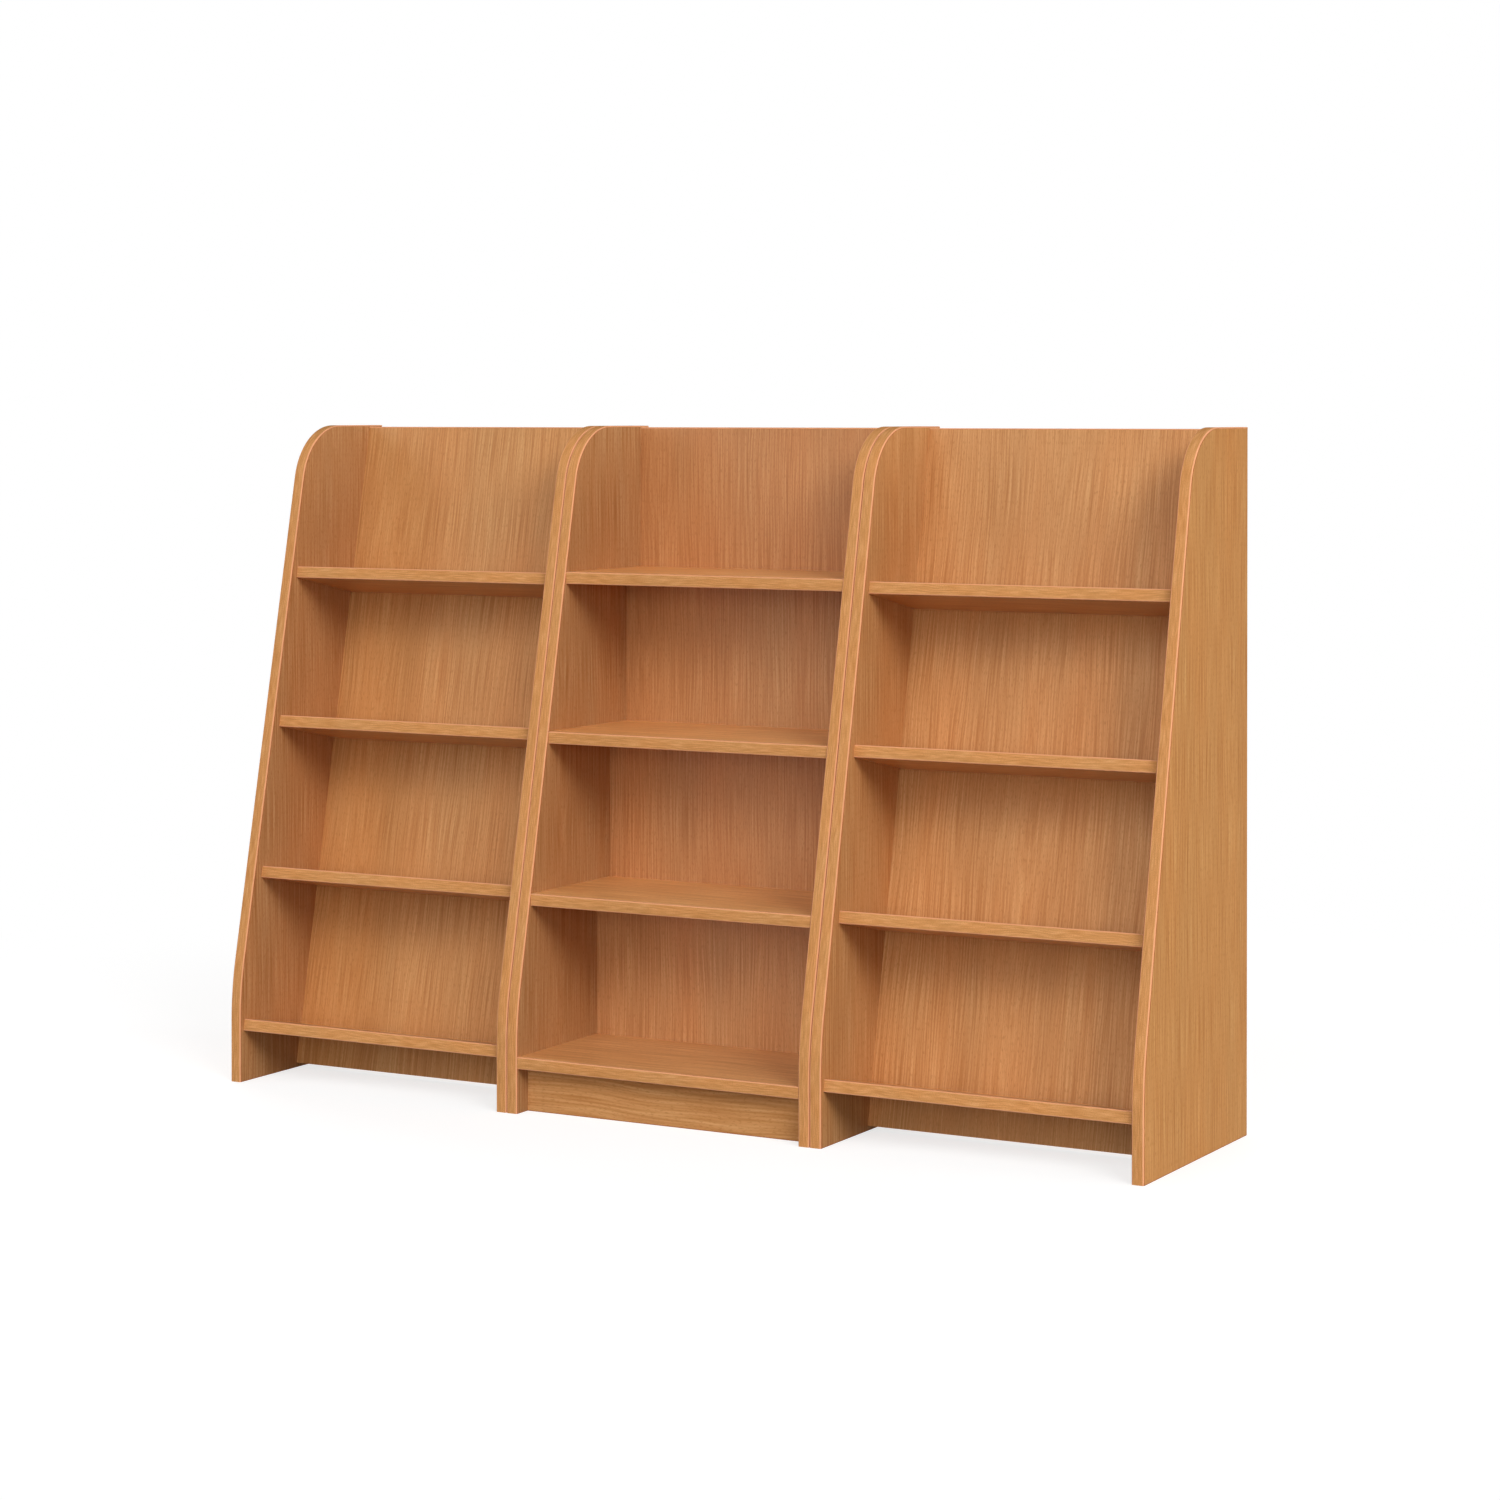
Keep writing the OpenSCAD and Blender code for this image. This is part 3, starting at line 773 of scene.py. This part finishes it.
# %% [markdown]
# ## Strips along shelves and backs
#
# Every shelf has a strip along its front, and the backs that end in the open have one
# along their top. A tilted board's box says little by itself, but its centre is the
# board's centre, and with the lean known its true depth follows: the box of a board
# that is d deep and t thick measures d cos a + t sin a, which is solved for d.

# %% Strips on shelves and backs
def straight_strip(node, board, outward, across, lean):
    """A strip along X on the edge of a board that faces outward."""
    low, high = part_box(board)
    size = high - low
    span = size.y if abs(outward.y) > abs(outward.z) else size.z
    reach = (span - BOARD_T * math.sin(lean)) / math.cos(lean) / 2
    middle = (low + high) / 2 + outward * reach
    ends = [(low.x, middle.y, middle.z), (high.x, middle.y, middle.z)]
    return fit_strip(node, ends, [outward, outward], across)


misses = []
for unit in UNITS:
    lean = BACK_LEAN if unit in DISPLAYS else 0.0
    up = Vector((0, math.sin(lean), math.cos(lean)))
    forward = Vector((0, -math.cos(lean), math.sin(lean)))
    for k in SHELVES:
        strip, board = f"{unit}_shelf_edging_{k}", f"{unit}_shelf_{k}"
        misses.append(straight_strip(strip, board, forward, up, lean))
    top_board = f"{unit}_back" if unit in DISPLAYS else f"{unit}_back_{SHELVES[-1]}"
    misses.append(straight_strip(f"{unit}_back_edging", top_board, up, -forward, lean))
print("straight strips:", len(misses), "largest miss in mm:", round(max(misses), 3))

# %% [markdown]
# ## Camera
#
# The photograph was taken with a long lens from eye level, a little above the top of
# the row and 29 degrees round to its right. The frame was then cropped high, which a
# lens shift repeats. The camera's place comes from fitting the corners of the row, as
# sized here, to where they lie in the picture.

# %% Make the camera
FRAME_WIDTH = 1500
FOCAL_PIXELS = 3520.6
CENTRE_LINE = 442.0
SENSOR = 36.0
CAMERA_TURN = math.radians(29.042)
CAMERA_TILT = math.radians(-0.5)
CAMERA_PLACE = (2.5458, -4.4925, 1.0222)

lens = bpy.data.cameras.new("camera")
lens.sensor_width = SENSOR
lens.lens = FOCAL_PIXELS * SENSOR / FRAME_WIDTH
lens.shift_y = (CENTRE_LINE - FRAME_WIDTH / 2) / FRAME_WIDTH
camera = bpy.data.objects.new("camera", lens)
camera.location = CAMERA_PLACE
camera.rotation_euler = (math.pi / 2 + CAMERA_TILT, 0, CAMERA_TURN)
bpy.context.scene.collection.objects.link(camera)
bpy.context.scene.camera = camera
print("lens:", round(lens.lens, 2), "shift:", round(lens.shift_y, 4))

# %% [markdown]
# ## Lamps
#
# The row was lit as in a studio, by large soft lamps in front and to the right, so
# each shelf throws a soft shade on what is under it. Each lamp here is a soft box far
# enough away to light the foot of the row as well as its top. Two more stand low
# behind, for whoever walks round the row.
#
# A lamp of power P at a distance r gives a white board that faces it a brightness of
# P divided by the square of pi times r, so a share of 1 is set to light it just fully.
# Where several lamps reach, their shares times the cosine of each angle add up.

# %% Hang the lamps
LAMPS = {
    "key": {"turn": 52, "rise": 28, "size": (4.0, 4.0), "share": 0.445},
    "key side": {"turn": 70, "rise": 26, "size": (3.2, 3.2), "share": 0.20},
    "high front": {"turn": -4, "rise": 30, "size": (6.0, 5.0), "share": 0.275},
    "low front": {"turn": 23, "rise": 8, "size": (8.0, 3.2), "share": 0.305},
    "left": {"turn": -55, "rise": 20, "size": (5.0, 6.0), "share": 0.21},
    "side": {"turn": 95, "rise": 10, "size": (5.0, 5.0), "share": 0.38},
    "rear left": {"turn": -120, "rise": 10, "size": (6.0, 4.0), "share": 0.59},
    "rear": {"turn": -168, "rise": 12, "size": (6.0, 4.0), "share": 0.53},
}
LAMP_DISTANCE = 12.0
LAMP_AIM = Vector((0, 0, 0.5))
FULL_LAMP = (math.pi * LAMP_DISTANCE) ** 2


def hang_lamp(name, turn, rise, size, share):
    """A soft box that looks at the middle of the row, turn degrees round to its right
    and rise degrees up."""
    turn, rise = math.radians(turn), math.radians(rise)
    level = math.cos(rise)
    away = Vector((math.sin(turn) * level, -math.cos(turn) * level, math.sin(rise)))
    light = bpy.data.lights.new(name, "AREA")
    light.shape = "RECTANGLE"
    light.size, light.size_y = size
    light.energy = FULL_LAMP * share
    lamp = bpy.data.objects.new(name, light)
    lamp.location = LAMP_AIM + away * LAMP_DISTANCE
    lamp.rotation_euler = away.to_track_quat("Z", "Y").to_euler()
    lamp.visible_camera = False
    bpy.context.scene.collection.objects.link(lamp)


for name, settings in LAMPS.items():
    hang_lamp(name, **settings)
print("lamps:", len(LAMPS))

# %% [markdown]
# ## White surroundings
#
# The row stands on nothing but white. Whatever looks at the world directly, or in a
# reflection, sees plain white of strength 1, but only a little of it lights the row,
# because the lamps do that. The floor is handled the same way: white to the camera,
# with a faint shadow under the row, but grey to light that bounces, or the undersides
# of the shelves would glow. What the camera sees of it is part lit by the lamps and
# part a glow of its own, and the share of the two sets how faint the shadow is. Further
# out the shadow fades and the floor melts into the world, so no horizon shows.

# %% The world
AMBIENT = 0.03
WHITE = (1, 1, 1, 1)


def seen_directly(tree):
    """1 for a ray from the camera, a reflection or through glass, and 0 for any other."""
    rays = add(tree, "LightPath").node.outputs
    seen = add(tree, "Math", rays["Is Camera Ray"], rays["Is Transmission Ray"],
        operation="MAXIMUM")
    return add(tree, "Math", seen, rays["Is Glossy Ray"], operation="MAXIMUM")


world = bpy.data.worlds.new("studio")
world.use_nodes = True
world.node_tree.nodes.clear()
seen = seen_directly(world.node_tree)
strength = add(world.node_tree, "Mix", inputs={0: seen, 2: AMBIENT, 3: 1.0})
add(world.node_tree, "OutputWorld", add(world.node_tree, "Background", WHITE, strength))
bpy.context.scene.world = world
print("the world is seen as 1 and lights the row with", AMBIENT)

# %% The floor
FLOOR_HALF = 2.5
FLOOR_BOUNCE = "#7A7A7A"
FLOOR_SEEN = "#A8A8A8"
FLOOR_LIFT = 0.72
SHADE_FADES = (1.2, 2.2)


def floor_material():
    """White to the camera with a faint shadow, and grey to light that has bounced."""
    material, tree = new_material("studio_floor")
    seen = seen_directly(tree)
    place = add(tree, "TexCoord", output="Object")
    distance = add(tree, "VectorMath", place, operation="LENGTH", output="Value")
    far = add(tree, "MapRange", inputs={"Value": distance,
        "From Min": SHADE_FADES[0], "From Max": SHADE_FADES[1]}, interpolation_type="SMOOTHSTEP")
    colour = add(tree, "Mix", inputs={0: seen, 6: linear(FLOOR_BOUNCE), 7: linear(FLOOR_SEEN)},
        data_type="RGBA", output=2)
    glow = add(tree, "Emission", WHITE, add(tree, "Math", seen, FLOOR_LIFT, operation="MULTIPLY"))
    near = add(tree, "AddShader", add(tree, "BsdfDiffuse", colour), glow)
    backdrop = add(tree, "Emission", WHITE, seen)
    add(tree, "OutputMaterial", add(tree, "MixShader", far, near, backdrop))
    return material


corners = [(x * FLOOR_HALF, y * FLOOR_HALF, 0) for x, y in ((-1, -1), (1, -1), (1, 1), (-1, 1))]
floor_mesh = bpy.data.meshes.new("floor")
floor_mesh.from_pydata(corners, [], [(0, 1, 2, 3)])
floor_mesh.materials.append(floor_material())
floor = bpy.data.objects.new("floor", floor_mesh)
bpy.context.scene.collection.objects.link(floor)
print("floor:", 2 * FLOOR_HALF, "m square")

# %% [markdown]
# ## Finish
#
# The picture is shown without any tone curve, so the colours come out as they were
# written.

# %% View and the end
bpy.context.scene.view_settings.view_transform = "Standard"
